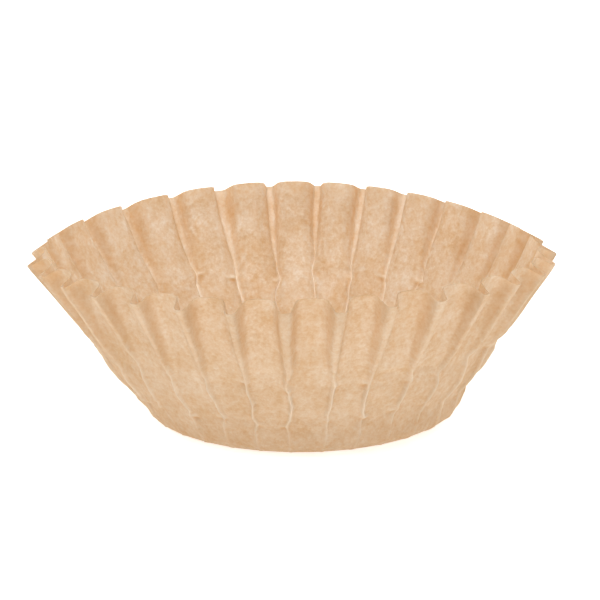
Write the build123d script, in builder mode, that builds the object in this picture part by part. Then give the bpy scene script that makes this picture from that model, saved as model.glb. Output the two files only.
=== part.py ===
"""Fluted basket coffee filter pressed from one round blank of paper.

The blank is gathered into narrow outward ribs with broad panels between
them.  The floor is a flat disc, a small bend turns it into the wall, and
the wall leans out to an open rim that has relaxed into a slight oval.

Origin at the middle of the floor's underside, +Z up, +X to the right side.
Lengths are in millimetres.
"""
from build123d import *
from math import acos, cos, hypot, pi, sin, sqrt
import os

# ---- driving dimensions ----------------------------------------------------
blank_diameter = 248.0      # flat paper disc before it is pressed
floor_diameter = 108.0      # flat floor and bend, where the wall starts
rim_width = 181.0           # rim over the panels, side to side
rim_reach = 175.0           # rim over the panels, front to back
paper_thickness = 0.20
bend_radius = 2.5           # outside rounding between floor and wall

flute_count = 30
rib_depth = 6.0             # rib crest outside the panels' edge, at the rim
rib_mouth = 5.2             # rib width where it leaves the panels, at the rim
rib_crest = 3.2             # rib width where its rounded crest starts
panel_sag = 1.4             # panel middle inside the panels' edge, at the rim

# ---- derived dimensions ----------------------------------------------------
floor_radius = floor_diameter / 2
wall_slant = (blank_diameter - floor_diameter) / 2
wall_run = (rim_width + rim_reach) / 4 - floor_radius
rim_height = sqrt(wall_slant ** 2 - wall_run ** 2)
wall_lean = acos(wall_run / wall_slant)
bend_centre = floor_radius - bend_radius * sin(wall_lean)
wall_inset = paper_thickness / sin(wall_lean)
crest_rise = rib_depth - rib_crest / 2      # straight part of a rib's side

bend_steps = 3              # flat bands that round the bend
overshoot = 2.0             # how far the inner form stands above the rim


def paper_face(height, foot_radius, foot_height, inset):
    """Filled outline at one height: round at the foot, fluted at the rim.

    Ribs keep their angle up the wall and grow in proportion to it.  inset
    is how far this side of the paper lies inside the outer side.
    """
    rise = (height - foot_height) / (rim_height - foot_height)

    def point(rib, across, outward):
        """Point by its rib's angle, its width across and its depth outward."""
        angle = rib + across / (rim_width / 2)
        oval = 1 / hypot(2 * cos(angle) / rim_width, 2 * sin(angle) / rim_reach)
        rim_radius = oval - inset + outward
        radius = foot_radius + (rim_radius - foot_radius) * rise
        return (radius * cos(angle), radius * sin(angle))

    pitch = 2 * pi / flute_count
    mouth = rib_mouth / 2 - inset
    crest = rib_crest / 2 - inset
    with BuildSketch(Plane.XY.offset(height)) as section:
        with BuildLine():
            for index in range(flute_count):
                rib = pitch * index
                crest_start = point(rib, -crest, crest_rise)
                crest_end = point(rib, crest, crest_rise)
                panel_start = point(rib, mouth, 0)
                panel_end = point(rib + pitch, -mouth, 0)
                next_crest = point(rib + pitch, -crest, crest_rise)
                ThreePointArc(crest_start, point(rib, 0, rib_depth), crest_end)
                Line(crest_end, panel_start)
                ThreePointArc(panel_start, point(rib + pitch / 2, 0, -panel_sag), panel_end)
                Line(panel_end, next_crest)
        make_face()
    return section.sketch.face()


def filled_sections(radius, top, inset):
    """Sections that fill one side of the paper: round the bend, then the wall.

    radius is the bend radius on that side and top the height to reach.
    """
    sections = []
    for step in range(bend_steps + 1):
        turn = wall_lean * step / bend_steps
        foot_height = bend_radius - radius * cos(turn)
        foot_radius = bend_centre + radius * sin(turn)
        sections.append(paper_face(foot_height, foot_radius, foot_height, inset))
    sections.append(paper_face(top, foot_radius, foot_height, inset))
    return sections


with BuildPart() as coffee_filter:
    loft(sections=filled_sections(bend_radius, rim_height, 0), ruled=True)
    inner_sections = filled_sections(bend_radius - paper_thickness, rim_height + overshoot, wall_inset)
    loft(sections=inner_sections, ruled=True, mode=Mode.SUBTRACT)

os.makedirs("parts", exist_ok=True)
coffee_filter.part.label = "coffee_filter"
export_step(coffee_filter.part, "parts/coffee_filter.step")
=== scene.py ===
"""Fluted paper basket filter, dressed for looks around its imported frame.

The filter is one round sheet of unbleached paper.  A geometry node tree
presses it the way the factory does: a flat floor, a small bend, a leaning
wall gathered into narrow outward ribs, and two rings of crimp marks where
the press has pinched those ribs.  The sheet then gets its real thickness.

Lengths inside the tree are millimetres; the finished mesh is in metres.
"""
from __future__ import annotations

import logging
import math
from dataclasses import dataclass, field
from enum import Enum

import bpy
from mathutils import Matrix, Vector

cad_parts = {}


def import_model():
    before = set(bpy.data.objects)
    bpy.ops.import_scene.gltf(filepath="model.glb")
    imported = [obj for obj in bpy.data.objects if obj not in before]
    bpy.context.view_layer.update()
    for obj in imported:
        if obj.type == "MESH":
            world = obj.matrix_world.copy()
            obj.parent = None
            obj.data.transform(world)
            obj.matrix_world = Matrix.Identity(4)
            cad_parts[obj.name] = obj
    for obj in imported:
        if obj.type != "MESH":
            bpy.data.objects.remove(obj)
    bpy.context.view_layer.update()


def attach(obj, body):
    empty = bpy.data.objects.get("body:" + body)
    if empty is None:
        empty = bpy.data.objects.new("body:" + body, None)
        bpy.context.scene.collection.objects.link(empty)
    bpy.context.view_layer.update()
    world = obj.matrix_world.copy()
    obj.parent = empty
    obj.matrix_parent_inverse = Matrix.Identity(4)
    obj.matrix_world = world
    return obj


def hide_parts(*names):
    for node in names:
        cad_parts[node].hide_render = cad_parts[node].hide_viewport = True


log = logging.getLogger("basket_filter")

MM = 0.001
DEGREE = math.pi / 180
WHITE = (1.0, 1.0, 1.0, 1.0)

# Steps that set apart the random numbers of neighbouring ribs and lots.
RIB_STEP = 17.0
LOT_STEP = 1000


def linear(hex_colour: str) -> tuple[float, float, float, float]:
    """Turn an sRGB hex colour into linear RGBA.

    Args:
        hex_colour: Six hex digits with a leading hash.

    Returns:
        Red, green, blue and alpha, each from 0 to 1.
    """
    channels = [int(hex_colour[start:start + 2], 16) / 255 for start in (1, 3, 5)]
    red, green, blue = [
        value / 12.92 if value <= 0.04045 else ((value + 0.055) / 1.055) ** 2.4
        for value in channels
    ]
    return (red, green, blue, 1.0)


def add_node(tree: bpy.types.NodeTree, kind: str, settings: dict | None = None,
             links: dict | None = None) -> bpy.types.Node:
    """Add one node with its settings and its inputs.

    Args:
        tree: Shader or geometry tree that takes the node.
        kind: The node's type name.
        settings: Attributes to set on the node, by name.
        links: Inputs by name or number, each an output socket to link or a plain value.

    Returns:
        The new node.
    """
    node = tree.nodes.new(kind)
    for name, value in (settings or {}).items():
        setattr(node, name, value)
    for key, value in (links or {}).items():
        if isinstance(value, bpy.types.NodeSocket):
            tree.links.new(value, node.inputs[key])
        else:
            node.inputs[key].default_value = value
    return node


class Ease(Enum):
    """How a value goes from one end of its run to the other."""

    STRAIGHT = "LINEAR"
    SMOOTH = "SMOOTHSTEP"


@dataclass(frozen=True)
class Run:
    """A value that goes from start at low to end at high, and is held beyond them."""

    low: float
    high: float
    start: float = 0.0
    end: float = 1.0
    ease: Ease = Ease.SMOOTH


@dataclass(frozen=True)
class Field:
    """A number at every point of the sheet, so that a formula reads as one."""

    tree: bpy.types.NodeTree
    socket: bpy.types.NodeSocket

    def math(self, operation: str, *others: Field | float) -> Field:
        """Apply one maths operation.

        Args:
            operation: Name of the operation, such as "SINE".
            others: The second and third inputs, where the operation has them.

        Returns:
            The result as a field.
        """
        links = {0: self.socket}
        for place, other in enumerate(others, start=1):
            links[place] = other.socket if isinstance(other, Field) else other
        node = add_node(self.tree, "ShaderNodeMath", {"operation": operation}, links)
        return Field(self.tree, node.outputs[0])

    def __add__(self, other: Field | float) -> Field:
        """Sum."""
        return self.math("ADD", other)

    def __sub__(self, other: Field | float) -> Field:
        """Difference."""
        return self.math("SUBTRACT", other)

    def __mul__(self, other: Field | float) -> Field:
        """Product."""
        return self.math("MULTIPLY", other)

    def __truediv__(self, other: Field | float) -> Field:
        """Quotient."""
        return self.math("DIVIDE", other)

    def __pow__(self, power: Field | float) -> Field:
        """Power."""
        return self.math("POWER", power)

    def over(self, run: Run) -> Field:
        """Value of a run, with this field as the place along it."""
        node = add_node(self.tree, "ShaderNodeMapRange", {"interpolation_type": run.ease.value}, {
            "Value": self.socket, "From Min": run.low, "From Max": run.high,
            "To Min": run.start, "To Max": run.end})
        return Field(self.tree, node.outputs["Result"])

    def bump(self, width: Field | float) -> Field:
        """Bell curve of height 1 round zero, with the given half width."""
        scaled = self / width
        return (scaled * scaled * -1.0).math("EXPONENT")


class Lot(Enum):
    """Independent random numbers drawn for each rib."""

    SPACING = 1
    WIDTH = 2
    DEPTH = 3
    UPPER_RING = 4
    LOWER_RING = 5
    PINCH = 6
    KINK = 7


@dataclass(frozen=True)
class Wave:
    """One slow wave round the basket, left by how the loose paper relaxed."""

    count: int
    size: float
    phase: float

    def at(self, turn: Field) -> Field:
        """Height of the wave at an angle, in the units of its size."""
        return (turn * float(self.count) + math.radians(self.phase)).math("SINE") * self.size


@dataclass(frozen=True)
class Sheet:
    """The flat sheet in its tree, and where each of its points lies.

    rib is the number of the nearest rib, and flute is the same but counts
    on where the sheet's end meets its start.  share runs from -0.5 to 0.5
    across a flute, with the rib crest at 0.  blank is the distance from
    the middle of the sheet, and climbed the part of it that stands in the
    wall.
    """

    tree: bpy.types.NodeTree
    size: dict[str, Field]
    seed: bpy.types.NodeSocket
    grid: bpy.types.NodeSocket
    rib: Field
    flute: Field
    share: Field
    blank: Field
    climbed: Field

    def draw(self, lot: Lot, spread: float, extra: Field | float = 0.0) -> Field:
        """Draw a random number for each rib, evenly spread either side of zero.

        Args:
            lot: Which of the rib's numbers this is.
            spread: Largest distance from zero; a negative one turns the draw over.
            extra: Sets apart several draws of one lot.

        Returns:
            The drawn number.
        """
        drawn = self.rib * RIB_STEP + float(lot.value * LOT_STEP) + extra
        node = add_node(self.tree, "FunctionNodeRandomValue", {"data_type": "FLOAT"},
                        {2: -spread, 3: spread, "ID": drawn.socket, "Seed": self.seed})
        return Field(self.tree, node.outputs[1])


@dataclass(frozen=True)
class CrimpRing:
    """A ring up the wall where the press has pinched the ribs.

    Each rib meets it at a height of its own.  There its line kinks, its
    crease is shallower, and a short mark crosses it: a raised lip with a
    painted highlight, over a dent with painted shadow.
    """

    input_name: str
    height: float
    lot: Lot
    scatter: float
    kink: float
    kink_reach: float
    kink_draw: float
    notch: float
    notch_height: float
    mark_shift: float
    shift_draw: float
    mark_unevenness: float
    unevenness_draw: float
    mark_width: float = 1.7
    lip_height: float = 0.9
    dent_drop: float = 1.6
    dent_height: float = 1.0
    # Place and size of the painted highlight on the lip and of the painted shadow in the dent.
    highlight_rise: float = 0.2
    highlight_height: float = 0.6
    shade_drop: float = 1.3
    shade_height: float = 0.7

    def above(self, sheet: Sheet) -> Field:
        """Distance up the wall from the ring, at each rib's own height."""
        return sheet.climbed - sheet.size[self.input_name] - sheet.draw(self.lot, self.scatter)

    def kinked(self, sheet: Sheet, above: Field) -> Field:
        """Sideways kink of each rib's line at the ring."""
        nearness = above.math("ABSOLUTE").over(Run(0.0, self.kink_reach, 1.0, 0.0, Ease.STRAIGHT))
        return nearness * sheet.draw(Lot.KINK, self.kink, self.kink_draw)

    def notched(self, above: Field) -> Field:
        """Share of a crease's depth that the ring leaves."""
        return above.bump(self.notch_height) * -self.notch + 1.0

    def mark(self, sheet: Sheet, across: Field) -> Field:
        """Find how strong the crimp mark is across each rib.

        Args:
            sheet: The sheet being pressed.
            across: Distance from the rib's line, in mm.

        Returns:
            Strength from 0 to 1, which some ribs have little of.
        """
        shift = sheet.draw(Lot.PINCH, self.mark_shift, self.shift_draw)
        strength = sheet.draw(Lot.PINCH, self.mark_unevenness, self.unevenness_draw)
        return (across - shift).bump(self.mark_width) * (strength + (1.0 - self.mark_unevenness))

    def relief(self, above: Field, mark: Field) -> Field:
        """Lip that stands out of the paper over a dent."""
        return (above.bump(self.lip_height) - (above + self.dent_drop).bump(self.dent_height)) * mark

    def painted_highlight(self, above: Field, mark: Field) -> Field:
        """Where the lip gets a painted highlight."""
        return (above - self.highlight_rise).bump(self.highlight_height) * mark

    def shaded(self, above: Field, mark: Field) -> Field:
        """Where the dent gets a painted shadow."""
        return (above + self.shade_drop).bump(self.shade_height) * mark


@dataclass(frozen=True)
class PressedRibs:
    """What the ribs do to the sheet: its angles, its relief, and where highlights and shade are painted
    on it.
    """

    azimuth: Field
    outward: Field
    crest: Field
    flank: Field


@dataclass
class PressedFilter:
    """The basket: one sheet of paper, pressed into floor, bend and fluted wall."""

    blank_radius: float = 124.0
    floor_radius: float = 54.0
    bend_width: float = 2.0
    paper_thickness: float = 0.2
    floor_lift: float = 0.15
    seed: int = 7

    # Wall: its lean and its bulge, and how the loose paper relaxed.
    lean: float = 61.3
    lean_waves: tuple[Wave, ...] = (Wave(1, 2.8, 119.0), Wave(2, 2.5, -56.0), Wave(3, 1.3, -156.0))
    cut_waves: tuple[Wave, ...] = (Wave(1, 1.2, -156.0), Wave(2, 1.7, -126.0))
    floor_waves: tuple[Wave, ...] = (Wave(1, 2.2, 130.0),)
    floor_wave_rise: Run = Run(0.0, 6.0)
    floor_wave_fade: Run = Run(2.0, 15.0, 1.0, 0.0)
    belly: float = 1.95
    belly_span: float = 75.0
    belly_waves: tuple[Wave, ...] = (Wave(1, 0.25, -90.0),)
    swell_size: float = 26.0
    swell_squeeze: float = 1.2
    swell_slice: float = 3.7
    swell_growth: Run = Run(6.0, 60.0, 0.2, 1.2)

    # Ribs: where they stand, and the kinks that each line turns at.
    flutes: int = 30
    first_rib: float = 2.85
    spacing_waves: tuple[Wave, ...] = (Wave(1, 0.9, -153.0), Wave(2, 1.35, 34.0))
    spacing_scatter: float = 0.02
    girth_growth: float = 0.46
    arc_radius: float = 70.0
    kink_run: float = 8.5
    kink_growth: Run = Run(3.0, 14.0, 0.0, 1.3, Ease.STRAIGHT)
    kink_fade: Run = Run(34.0, 46.0, 1.0, 0.25, Ease.STRAIGHT)

    # Rib section: a sharp crease low down opens into a rounded tube
    # towards the rim, with panels that sag a little between the ribs.
    rib_depth: float = 6.2
    depth_scatter: float = 0.1
    rib_half_width: float = 1.85
    width_scatter: float = 0.2
    opening_rise: Run = Run(0.0, 35.0, 0.0, 1.0, Ease.STRAIGHT)
    opening_power: float = 1.3
    crease_share: float = 0.52
    crease_pinch: Run = Run(-5.0, 1.0, 0.85, 1.0, Ease.STRAIGHT)
    crease_depth: float = 1.6
    crease_foot: float = 0.3
    crease_start: float = 1.0
    crease_end: float = 30.0
    crest_flat: Run = Run(0.0, 0.3, 0.0, 0.75, Ease.STRAIGHT)
    side_fall: Run = Run(0.0, 1.0, 1.0, 0.0)
    skirt_share: float = 0.2
    skirt_width: float = 2.4
    panel_sag: float = 1.4
    panel_rise: Run = Run(0.02, 0.62)
    sag_growth: Run = Run(20.0, 70.0, 0.0, 1.0, Ease.STRAIGHT)
    relief_start: Run = Run(40.0, 56.0)

    # Crimp rings, and the crumpled paper near them.
    upper_ring: CrimpRing = CrimpRing(
        "Upper Ring", height=35.0, lot=Lot.UPPER_RING, scatter=3.5,
        kink=1.3, kink_reach=4.0, kink_draw=50.0, notch=0.3, notch_height=1.3,
        mark_shift=1.8, shift_draw=0.0, mark_unevenness=0.5, unevenness_draw=5.0)
    lower_ring: CrimpRing = CrimpRing(
        "Lower Ring", height=16.0, lot=Lot.LOWER_RING, scatter=3.0,
        kink=1.5, kink_reach=3.0, kink_draw=60.0, notch=0.4, notch_height=1.2,
        mark_shift=-1.8, shift_draw=9.0, mark_unevenness=0.45, unevenness_draw=7.0)
    mark_depth: float = 0.8
    crumple_depth: float = 1.1
    crumple_size: float = 6.5
    crumple_squeeze: float = 1.3
    crumple_slice: float = 1.3
    crumple_band: float = 6.5

    # Painted highlights on the crests and painted shade on the flanks, as shares from 0 to 1.
    crest_width: Run = Run(-2.0, 5.0, 0.5, 0.8, Ease.STRAIGHT)
    crest_fade: Run = Run(-2.0, 6.0, 1.0, 0.3, Ease.STRAIGHT)
    crest_rise: Run = Run(-14.0, 4.0, 0.2, 1.0)
    crest_start: Run = Run(42.0, 58.0)
    flank_place: float = 1.35
    flank_width: float = 0.5
    flank_shade: Run = Run(0.0, 0.6, 0.1, 0.36, Ease.STRAIGHT)
    flank_start: Run = Run(4.0, 20.0)
    edge_shade: Run = Run(-0.3, 0.0, 0.0, 0.15, Ease.STRAIGHT)

    # Mesh: columns crowd at the ribs.  Rows are few on the flat floor,
    # close at the crimp rings, and wider apart where the ribs run
    # straight; each band is its number of rows and the radius it ends at.
    samples_per_flute: int = 21
    crowding: float = 1.6
    row_bands: tuple[tuple[int, float], ...] = (
        (2, 47.0), (8, 62.0), (25, 77.5), (2, 81.0), (26, 97.5), (12, 123.75), (1, 124.0))
    weld: float = 0.01

    name: str = "fluted_paper_basket"
    node: str = "coffee_filter"
    slot: str = "filter_paper"

    def inputs(self) -> dict[str, float]:
        """List the sizes that the tree takes.

        Returns:
            Each size by the name of its input.
        """
        return {
            "Floor Radius": self.floor_radius,
            "Blank Radius": self.blank_radius,
            "Bend Width": self.bend_width,
            "Flutes": float(self.flutes),
            "Lean": self.lean,
            "Belly": self.belly,
            "Rib Depth": self.rib_depth,
            "Rib Half Width": self.rib_half_width,
            "Panel Sag": self.panel_sag,
            self.upper_ring.input_name: self.upper_ring.height,
            self.lower_ring.input_name: self.lower_ring.height,
        }

    def lay_sheet(self) -> Sheet:
        """Start the tree with its inputs and a flat grid of paper.

        Returns:
            The sheet, ready to press.
        """
        tree = bpy.data.node_groups.new("press the filter", "GeometryNodeTree")
        tree.interface.new_socket(name="Geometry", in_out="OUTPUT", socket_type="NodeSocketGeometry")
        for name in self.inputs():
            tree.interface.new_socket(name=name, in_out="INPUT", socket_type="NodeSocketFloat")
        tree.interface.new_socket(name="Seed", in_out="INPUT", socket_type="NodeSocketInt")
        given = add_node(tree, "NodeGroupInput")
        size = {name: Field(tree, given.outputs[name]) for name in self.inputs()}

        columns = self.flutes * self.samples_per_flute
        rows = 1 + sum(count for count, _ in self.row_bands)
        grid = add_node(tree, "GeometryNodeMeshGrid", None,
                        {"Size X": 1.0, "Size Y": 1.0, "Vertices X": columns + 1, "Vertices Y": rows})
        index = Field(tree, add_node(tree, "GeometryNodeInputIndex").outputs[0])
        column = ((index + 0.5) / float(rows)).math("FLOOR")
        row = index - column * float(rows)

        step = column / float(self.samples_per_flute)
        wrapped = step.math("MODULO", float(self.flutes))
        rib = (wrapped + 0.5).math("FLOOR").math("MODULO", float(self.flutes))
        even = (step + 0.5).math("FRACT") - 0.5
        share = ((even.math("ABSOLUTE") * 2.0) ** self.crowding) * 0.5 * even.math("SIGN")

        blank = row * 0.0
        first = 0
        inner = 0.0
        for count, outer in self.row_bands:
            band = Run(float(first), float(first + count), 0.0, outer - inner, Ease.STRAIGHT)
            blank = blank + row.over(band)
            first = first + count
            inner = outer
        slant = blank - size["Floor Radius"]
        rounding = size["Bend Width"] * size["Bend Width"]
        climbed = (slant + (slant * slant + rounding).math("SQRT")) * 0.5
        return Sheet(tree=tree, size=size, seed=given.outputs["Seed"], grid=grid.outputs["Mesh"],
                     rib=rib, flute=step - even, share=share, blank=blank, climbed=climbed)

    def wander(self, sheet: Sheet, upper: Field, lower: Field) -> Field:
        """Lead each rib's line from kink to kink in straight runs.

        Args:
            sheet: The sheet being pressed.
            upper: Distance up the wall from the upper ring.
            lower: Distance up the wall from the lower ring.

        Returns:
            How far the line lies from the rib's own angle, in mm.
        """
        run = sheet.climbed / self.kink_run
        below = run.math("FLOOR")
        along = run.math("FRACT")
        kink = sheet.draw(Lot.KINK, 1.0, below) * (along * -1.0 + 1.0)
        kink = kink + sheet.draw(Lot.KINK, 1.0, below + 1.0) * along
        kink = kink * sheet.climbed.over(self.kink_growth) * sheet.climbed.over(self.kink_fade)
        return kink + self.upper_ring.kinked(sheet, upper) + self.lower_ring.kinked(sheet, lower)

    def crumple(self, sheet: Sheet, arc: Field) -> Field:
        """Crumple the paper near the rings into flat facets with sharp folds.

        Args:
            sheet: The sheet being pressed.
            arc: Distance round the wall, in mm.

        Returns:
            Depth of the facets, from 0 to about 1.
        """
        place = add_node(sheet.tree, "ShaderNodeCombineXYZ", None, {
            0: arc.socket, 1: (sheet.climbed * self.crumple_squeeze).socket, 2: self.crumple_slice})
        facets = add_node(sheet.tree, "ShaderNodeTexVoronoi", {"feature": "F1"},
                          {"Vector": place.outputs[0], "Scale": 1.0 / self.crumple_size})
        near_upper = (sheet.climbed - sheet.size["Upper Ring"]).bump(self.crumple_band)
        near_lower = (sheet.climbed - sheet.size["Lower Ring"]).bump(self.crumple_band)
        return Field(sheet.tree, facets.outputs["Distance"]) * (near_upper + near_lower)

    def swell(self, sheet: Sheet, arc: Field) -> Field:
        """Swell the free paper in broad patches, more of it towards the rim.

        Args:
            sheet: The sheet being pressed.
            arc: Distance round the wall, in mm.

        Returns:
            Relief of the patches, in mm.
        """
        place = add_node(sheet.tree, "ShaderNodeCombineXYZ", None, {
            0: arc.socket, 1: (sheet.climbed * self.swell_squeeze).socket, 2: self.swell_slice})
        noise = add_node(sheet.tree, "ShaderNodeTexNoise", {"noise_dimensions": "3D"},
                         {"Vector": place.outputs[0], "Scale": 1.0 / self.swell_size, "Detail": 1.0})
        return (Field(sheet.tree, noise.outputs[0]) - 0.5) * sheet.climbed.over(self.swell_growth)

    def gather(self, sheet: Sheet) -> PressedRibs:
        """Gather the wall into ribs and panels, with their crimp marks.

        Args:
            sheet: The sheet being pressed.

        Returns:
            The angles and relief of the sheet, and where highlights and shade are painted on it.
        """
        climbed = sheet.climbed
        share = sheet.share
        upper = self.upper_ring.above(sheet)
        lower = self.lower_ring.above(sheet)

        # Angle of each point, with the ribs unevenly spaced.
        turn = (sheet.flute + share) / sheet.size["Flutes"] * math.tau
        scattered = sheet.flute + sheet.draw(Lot.SPACING, self.spacing_scatter) + share
        azimuth = scattered / sheet.size["Flutes"] * math.tau + math.radians(self.first_rib)
        for wave in self.spacing_waves:
            azimuth = azimuth + wave.at(turn) * DEGREE
        girth = sheet.size["Floor Radius"] + climbed * self.girth_growth
        across = share * girth * (math.tau / self.flutes)
        nearness = share.math("ABSOLUTE") * -2.0 + 1.0
        azimuth = azimuth + self.wander(sheet, upper, lower) * nearness / girth

        # Section of each rib, in half widths from its line.
        opening = upper.over(self.opening_rise) ** self.opening_power
        half_width = opening * (1.0 - self.crease_share) + self.crease_share
        uneven_width = sheet.draw(Lot.WIDTH, self.width_scatter) + 1.0
        half_width = half_width * sheet.size["Rib Half Width"] * uneven_width
        half_width = half_width * upper.over(self.crease_pinch)
        reach = across.math("ABSOLUTE") / half_width
        tube = (reach - opening.over(self.crest_flat)).over(self.side_fall)
        section = tube * (1.0 - self.skirt_share) + reach.bump(self.skirt_width) * self.skirt_share

        # Depth of each rib, and of the panels between them.
        crease = climbed.over(
            Run(self.crease_start, self.crease_end, self.crease_foot, self.crease_depth))
        crease = crease * self.lower_ring.notched(lower) * self.upper_ring.notched(upper)
        uneven_depth = sheet.draw(Lot.DEPTH, self.depth_scatter) + 1.0
        depth = crease + opening * (sheet.size["Rib Depth"] - self.crease_depth) * uneven_depth
        panel = ((share * math.pi).math("SINE") ** 2.0).over(self.panel_rise)
        sag = panel * sheet.size["Panel Sag"] * climbed.over(self.sag_growth)

        # Relief of the whole sheet, with the crimp marks and crumples.
        upper_mark = self.upper_ring.mark(sheet, across)
        lower_mark = self.lower_ring.mark(sheet, across)
        marks = self.upper_ring.relief(upper, upper_mark) + self.lower_ring.relief(lower, lower_mark)
        arc = azimuth * self.arc_radius
        pressed = section * depth - sag + marks * self.mark_depth
        pressed = pressed - self.crumple(sheet, arc) * self.crumple_depth
        outward = pressed * sheet.blank.over(self.relief_start) + self.swell(sheet, arc)

        # Painted highlights on the crests and crimp lips, then painted shade on the flanks, the crimp
        # dents and the cut edge.
        crest = reach.bump(upper.over(self.crest_width)) * upper.over(self.crest_fade)
        crest = crest * lower.over(self.crest_rise) * sheet.blank.over(self.crest_start)
        crest = crest.math("MAXIMUM", self.upper_ring.painted_highlight(upper, upper_mark))
        crest = crest.math("MAXIMUM", self.lower_ring.painted_highlight(lower, lower_mark))

        # Painted shade down the sides of each rib.
        flank = (reach - self.flank_place).bump(self.flank_width)
        flank = flank * opening.over(self.flank_shade) * climbed.over(self.flank_start)
        flank = flank.math("MAXIMUM", self.upper_ring.shaded(upper, upper_mark))
        flank = flank.math("MAXIMUM", self.lower_ring.shaded(lower, lower_mark))
        # Painted shade along the cut edge.
        edge = (sheet.blank - sheet.size["Blank Radius"]).over(self.edge_shade)
        flank = flank.math("MAXIMUM", edge)
        return PressedRibs(azimuth=azimuth, outward=outward, crest=crest, flank=flank)

    def lean_wall(self, sheet: Sheet, ribs: PressedRibs) -> bpy.types.NodeSocket:
        """Stand the wall up round the floor, with the ribs' relief square to it.

        Args:
            sheet: The sheet being pressed.
            ribs: Its ribs.

        Returns:
            The place of every point, in metres.
        """
        climbed = sheet.climbed
        azimuth = ribs.azimuth
        lean = sheet.size["Lean"]
        for wave in self.lean_waves:
            lean = lean + wave.at(azimuth)
        lean = lean.math("RADIANS")
        run_out = lean.math("COSINE")
        rise_up = lean.math("SINE")

        belly = sheet.size["Belly"]
        for wave in self.belly_waves:
            belly = belly + wave.at(azimuth)
        relaxed = (climbed * (math.pi / self.belly_span)).math("SINE") * belly
        for wave in self.floor_waves:
            bulge = wave.at(azimuth) * climbed.over(self.floor_wave_rise)
            relaxed = relaxed + bulge * climbed.over(self.floor_wave_fade)
        outward = ribs.outward + relaxed

        cut = (climbed * 0.0) + 1.0
        for wave in self.cut_waves:
            cut = cut + wave.at(azimuth) / (sheet.size["Blank Radius"] - sheet.size["Floor Radius"])
        wall = climbed * cut
        radius = sheet.blank - climbed + wall * run_out + outward * rise_up
        height = wall * rise_up - outward * run_out
        place = add_node(sheet.tree, "ShaderNodeCombineXYZ", None, {
            0: (radius * azimuth.math("COSINE") * MM).socket,
            1: (radius * azimuth.math("SINE") * MM).socket,
            2: ((height + self.floor_lift) * MM).socket,
        })
        return place.outputs[0]

    def press_tree(self, paper: bpy.types.Material) -> bpy.types.NodeTree:
        """Build the node tree that presses a flat grid into the basket.

        Args:
            paper: Material that the tree puts on the sheet.

        Returns:
            The geometry node tree.
        """
        sheet = self.lay_sheet()
        tree = sheet.tree
        ribs = self.gather(sheet)
        pressed = add_node(tree, "GeometryNodeSetPosition", None,
                           {"Geometry": sheet.grid, "Position": self.lean_wall(sheet, ribs)})
        marked = pressed.outputs[0]
        for name, value in (("crest", ribs.crest), ("flank", ribs.flank)):
            stored = add_node(tree, "GeometryNodeStoreNamedAttribute",
                              {"data_type": "FLOAT", "domain": "POINT"},
                              {"Geometry": marked, "Name": name, "Value": value.socket})
            marked = stored.outputs[0]
        closed = add_node(tree, "GeometryNodeMergeByDistance", None,
                          {"Geometry": marked, "Distance": self.weld * MM})
        smooth = add_node(tree, "GeometryNodeSetShadeSmooth", None, {"Geometry": closed.outputs[0]})
        real = add_node(tree, "GeometryNodeRealizeInstances", None, {0: smooth.outputs[0]})
        dressed = add_node(tree, "GeometryNodeSetMaterial", None,
                           {"Geometry": real.outputs[0], "Material": paper})
        add_node(tree, "NodeGroupOutput", None, {0: dressed.outputs[0]})
        return tree

    def build(self, paper: bpy.types.Material) -> bpy.types.Object:
        """Press the sheet, give it its thickness and put it in the frame.

        Args:
            paper: Material of the sheet.

        Returns:
            The finished basket.
        """
        tree = self.press_tree(paper)
        carrier = bpy.data.objects.new("blank", bpy.data.meshes.new("blank"))
        bpy.context.scene.collection.objects.link(carrier)
        press = carrier.modifiers.new("press", "NODES")
        press.node_group = tree
        values = self.inputs() | {"Seed": self.seed}
        for socket in tree.interface.items_tree:
            if socket.in_out == "INPUT":
                press[socket.identifier] = values[socket.name]
        evaluated = carrier.evaluated_get(bpy.context.evaluated_depsgraph_get())
        sheet = bpy.data.meshes.new_from_object(evaluated)
        bpy.data.objects.remove(carrier)
        basket = bpy.data.objects.new(self.name, sheet)
        bpy.context.scene.collection.objects.link(basket)
        thickness = basket.modifiers.new("paper thickness", "SOLIDIFY")
        thickness.thickness = self.paper_thickness * MM
        thickness.offset = 0.0
        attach(basket, "root")
        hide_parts(self.node)
        return basket


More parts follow.
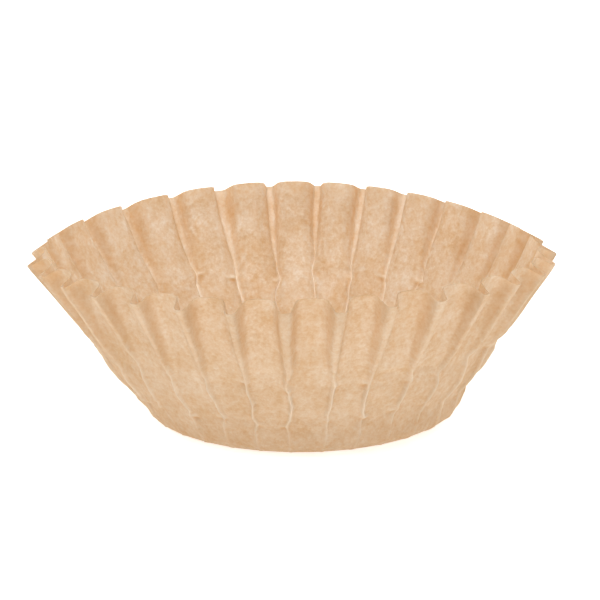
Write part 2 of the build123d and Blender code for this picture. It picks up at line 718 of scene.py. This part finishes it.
@dataclass(frozen=True)
class FilterPaper:
    """Unbleached kraft filter paper, wet laid and creped.

    Long soft fibres lie unevenly, so the sheet is cloudy against the light
    and matt.  Its colour also carries a painted highlight along the rib
    crests and crimp lips, and painted shade on the sides of the ribs, in
    the crimp dents and at the cut edge.
    """

    pale: str = "#DDC5A7"
    middle: str = "#DAC1A1"
    deep: str = "#D8BD98"
    # Painted highlight laid on the rib crests and crimp lips.
    painted_highlight: str = "#EADBC6"
    highlight_share: float = 0.65
    # Painted shade laid on the rib flanks, crimp dents and cut edge.
    steep_shade: str = "#D9B587"
    steep_shade_share: float = 0.9
    glow_pale: str = "#FFFDF9"
    # Share of the pale glow laid on the crests as a painted highlight in the light let through.
    glow_highlight_share: float = 0.7
    glow_deep: str = "#E7CAA6"
    # Deeper glow laid on the flanks as painted shade in the light let through.
    glow_steep_shade: str = "#E6C393"
    glow_steep_shade_share: float = 0.9
    cloud_mm: float = 11.0
    fleck_mm: float = 1.8
    fibre_mm: float = 0.75
    fleck_share: float = 0.55
    fibre_share: float = 0.3
    noise_detail: float = 3.0
    noise_roughness: float = 0.6
    thick_spots: float = 0.36
    thin_spots: float = 0.64
    grain_mm: float = 0.3
    grain_strength: float = 0.2
    roughness: float = 0.92
    specular: float = 0.2
    translucency: float = 0.5
    rib_translucency: float = 0.53

    def colour_spots(self, tree: bpy.types.NodeTree, spots: bpy.types.NodeSocket,
                     colours: tuple[str, ...]) -> bpy.types.NodeSocket:
        """Colour the sheet from its thick spots to its thin ones.

        Args:
            tree: The material's tree.
            spots: How thin the paper is, from 0 to 1.
            colours: Two or three hex colours, thick spots first.

        Returns:
            The colour of every point.
        """
        node = add_node(tree, "ShaderNodeValToRGB", None, {"Fac": spots})
        stops = node.color_ramp.elements
        stops[0].position, stops[0].color = self.thick_spots, linear(colours[0])
        stops[1].position, stops[1].color = self.thin_spots, linear(colours[-1])
        if len(colours) > 2:
            stops.new(0.5).color = linear(colours[1])
        return node.outputs[0]

    def lay_over(self, tree: bpy.types.NodeTree, under: bpy.types.NodeSocket, over: str,
                 attribute: str, amount: float) -> bpy.types.NodeSocket:
        """Lay a colour over another along one of the sheet's own attributes.

        Args:
            tree: The material's tree.
            under: Colour underneath.
            over: Hex colour on top.
            attribute: Attribute that says where, from 0 to 1.
            amount: Share of the top colour where the attribute is 1.

        Returns:
            The mixed colour.
        """
        where = add_node(tree, "ShaderNodeAttribute", {"attribute_name": attribute})
        share = add_node(tree, "ShaderNodeMath", {"operation": "MULTIPLY"},
                         {0: where.outputs["Fac"], 1: amount})
        mixed = add_node(tree, "ShaderNodeMix", {"data_type": "RGBA"},
                         {0: share.outputs[0], 6: under, 7: linear(over)})
        return mixed.outputs[2]

    def material(self) -> bpy.types.Material:
        """Build the paper as a shader that lets some light through.

        Returns:
            The material.
        """
        paper = bpy.data.materials.new("unbleached filter paper")
        paper.use_nodes = True
        tree = paper.node_tree
        tree.nodes.clear()
        place = add_node(tree, "ShaderNodeTexCoord").outputs["Object"]
        cloud, fleck, fibre = [
            add_node(tree, "ShaderNodeTexNoise", None, {
                "Vector": place, "Scale": 1 / (size * MM),
                "Detail": self.noise_detail, "Roughness": self.noise_roughness}).outputs[0]
            for size in (self.cloud_mm, self.fleck_mm, self.fibre_mm)
        ]
        coarse = add_node(tree, "ShaderNodeMix", {"data_type": "FLOAT"},
                          {0: self.fleck_share, 2: cloud, 3: fleck}).outputs[0]
        fine = add_node(tree, "ShaderNodeMix", {"data_type": "FLOAT"},
                        {0: self.fibre_share, 2: coarse, 3: fibre}).outputs[0]

        tint = self.colour_spots(tree, coarse, (self.deep, self.middle, self.pale))
        # Painted shade on the rib flanks, crimp dents and cut edge, and a painted highlight on the
        # crests and crimp lips, in the colour seen and in the light let through.
        tint = self.lay_over(tree, tint, self.steep_shade, "flank", self.steep_shade_share)
        tint = self.lay_over(tree, tint, self.painted_highlight, "crest", self.highlight_share)
        glow = self.colour_spots(tree, fine, (self.glow_deep, self.glow_pale))
        glow = self.lay_over(tree, glow, self.glow_steep_shade, "flank", self.glow_steep_shade_share)
        glow = self.lay_over(tree, glow, self.glow_pale, "crest", self.glow_highlight_share)

        grain = add_node(tree, "ShaderNodeBump", None, {
            "Strength": self.grain_strength, "Distance": self.grain_mm * MM, "Height": fibre})
        surface = add_node(tree, "ShaderNodeBsdfPrincipled", None,
                           {"Base Color": tint, "Roughness": self.roughness,
                            "Specular IOR Level": self.specular, "Normal": grain.outputs[0]})
        through = add_node(tree, "ShaderNodeBsdfTranslucent", None,
                           {"Color": glow, "Normal": grain.outputs[0]})
        opened = add_node(tree, "ShaderNodeMath", {"operation": "MAXIMUM"}, {
            0: add_node(tree, "ShaderNodeAttribute", {"attribute_name": "crest"}).outputs["Fac"],
            1: add_node(tree, "ShaderNodeAttribute", {"attribute_name": "flank"}).outputs["Fac"]})
        amount = add_node(tree, "ShaderNodeMix", {"data_type": "FLOAT"},
                          {0: opened.outputs[0], 2: self.translucency, 3: self.rib_translucency})
        sheet = add_node(tree, "ShaderNodeMixShader", None,
                         {0: amount.outputs[0], 1: surface.outputs[0], 2: through.outputs[0]})
        add_node(tree, "ShaderNodeOutputMaterial", None, {0: sheet.outputs[0]})
        return paper


@dataclass(frozen=True)
class Lamp:
    """One soft square lamp, in metres and watts."""

    name: str
    place: tuple[float, float, float]
    size: float
    power: float

    def hang(self, target: Vector) -> bpy.types.Object:
        """Hang the lamp so that it faces the basket.

        Args:
            target: Point that it faces, in metres.

        Returns:
            The lamp.
        """
        data = bpy.data.lights.new(self.name, "AREA")
        data.size = self.size
        data.energy = self.power
        lamp = bpy.data.objects.new(self.name, data)
        lamp.location = self.place
        lamp.rotation_euler = (target - Vector(self.place)).to_track_quat("-Z", "Y").to_euler()
        bpy.context.scene.collection.objects.link(lamp)
        return lamp


@dataclass
class Studio:
    """Plain pale floor, soft lights and the camera.

    The camera's lengths are in millimetres and its angles in degrees; the
    floor and the lamps are in metres.
    """

    elevation: float = 16.7
    distance: float = 1140.0
    lens: float = 189.47
    sensor_width: float = 36.0
    drop: float = 0.599
    swing: float = -0.027
    aim: Vector = field(default_factory=lambda: Vector((0.0, 0.0, 28.0)))
    clip_end: float = 20000.0

    floor_half_size: float = 6.0
    floor_colour: str = "#F2F2F0"
    floor_glow: float = 0.6
    floor_bounce: float = 0.46
    sky: float = 0.59
    backdrop: float = 1.0
    lamp_target: Vector = field(default_factory=lambda: Vector((0.0, 0.0, 0.03)))
    lamps: tuple[Lamp, ...] = (
        Lamp("key", (-0.3, -0.7, 1.6), 1.0, 7.8),
        Lamp("front", (0.1, -1.6, 0.4), 1.0, 3.2),
        Lamp("back left", (-0.9, 0.9, 0.25), 0.8, 12.5),
        Lamp("back right", (0.8, 1.0, 0.25), 0.8, 13.0),
    )

    def camera(self) -> bpy.types.Object:
        """Place the camera and make it the scene's.

        Returns:
            The camera.
        """
        data = bpy.data.cameras.new("camera")
        data.sensor_width = self.sensor_width
        data.lens = self.lens
        data.clip_end = self.clip_end * MM
        camera = bpy.data.objects.new("camera", data)
        tilt = math.radians(self.elevation)
        camera.location = (self.aim + Vector((0, -math.cos(tilt), math.sin(tilt))) * self.distance) * MM
        pitch = math.radians(90.0 - self.elevation + self.drop)
        camera.rotation_euler = (pitch, 0, math.radians(self.swing))
        bpy.context.scene.collection.objects.link(camera)
        bpy.context.scene.camera = camera
        return camera

    def floor(self) -> bpy.types.Object:
        """Lay a large pale floor that keeps the shadow but reads white.

        Returns:
            The floor.
        """
        size = self.floor_half_size
        mesh = bpy.data.meshes.new("floor")
        mesh.from_pydata([(-size, -size, 0), (size, -size, 0), (size, size, 0), (-size, size, 0)],
                         [], [(0, 1, 2, 3)])
        floor = bpy.data.objects.new("floor", mesh)
        bpy.context.scene.collection.objects.link(floor)
        white = bpy.data.materials.new("white studio floor")
        white.use_nodes = True
        tree = white.node_tree
        tree.nodes.clear()
        path = add_node(tree, "ShaderNodeLightPath")
        matt = add_node(tree, "ShaderNodeBsdfDiffuse", None, {"Color": linear(self.floor_colour)})
        unseen, seen = [
            add_node(tree, "ShaderNodeAddShader", None, {
                0: matt.outputs[0],
                1: add_node(tree, "ShaderNodeEmission", None,
                            {"Color": WHITE, "Strength": strength}).outputs[0]}).outputs[0]
            for strength in (self.floor_bounce, self.floor_glow)
        ]
        surface = add_node(tree, "ShaderNodeMixShader", None,
                           {0: path.outputs["Is Camera Ray"], 1: unseen, 2: seen})
        add_node(tree, "ShaderNodeOutputMaterial", None, {0: surface.outputs[0]})
        mesh.materials.append(white)
        return floor

    def light(self) -> None:
        """Light from all round, with a key high up, one lamp low in front and two low behind."""
        world = bpy.data.worlds.new("studio")
        world.use_nodes = True
        tree = world.node_tree
        tree.nodes.clear()
        path = add_node(tree, "ShaderNodeLightPath")
        strength = add_node(tree, "ShaderNodeMix", {"data_type": "FLOAT"},
                            {0: path.outputs["Is Camera Ray"], 2: self.sky, 3: self.backdrop})
        sky = add_node(tree, "ShaderNodeBackground", None,
                       {"Color": WHITE, "Strength": strength.outputs[0]})
        add_node(tree, "ShaderNodeOutputWorld", None, {0: sky.outputs[0]})
        bpy.context.scene.world = world
        for lamp in self.lamps:
            lamp.hang(self.lamp_target)


def main() -> None:
    """Build the filter and its studio, and log how many faces the basket has."""
    logging.basicConfig(level=logging.INFO, format="%(name)s: %(message)s")
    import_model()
    basket = PressedFilter().build(FilterPaper().material())
    log.info("basket: %d faces", len(basket.data.polygons))
    studio = Studio()
    studio.floor()
    studio.light()
    studio.camera()
    bpy.context.scene.view_settings.view_transform = "Standard"


if __name__ == "__main__":
    main()
